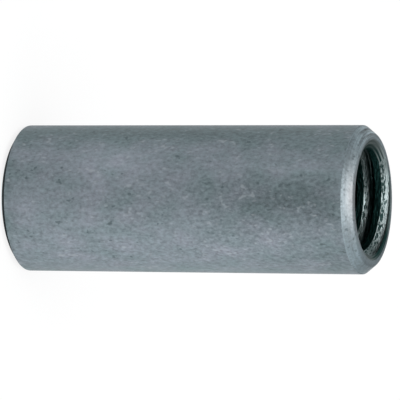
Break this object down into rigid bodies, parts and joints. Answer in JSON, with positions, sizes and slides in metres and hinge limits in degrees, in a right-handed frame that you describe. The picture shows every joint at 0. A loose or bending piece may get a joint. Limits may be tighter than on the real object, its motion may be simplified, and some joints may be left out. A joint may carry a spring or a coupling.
{
  "type": "round coupling nut",
  "caption": "Plain round steel sleeve, threaded right through, with chamfered ends and countersunk mouths, that joins threaded rods end to end.",
  "frame": {"origin": "centre of the cut-off end, which the nut stands on", "axes": "+Z along the thread's axis, from the cut-off end to the finished end; X and Y are any two directions across it"},
  "size_m": [0.01, 0.01, 0.025],
  "materials": {
    "plain_steel": "dull grey drawn bar, brighter on the turned ends and the cut thread"
  },
  "bodies": {
    "root": {"coupling_nut": "plain_steel"}
  },
  "joints": []
}
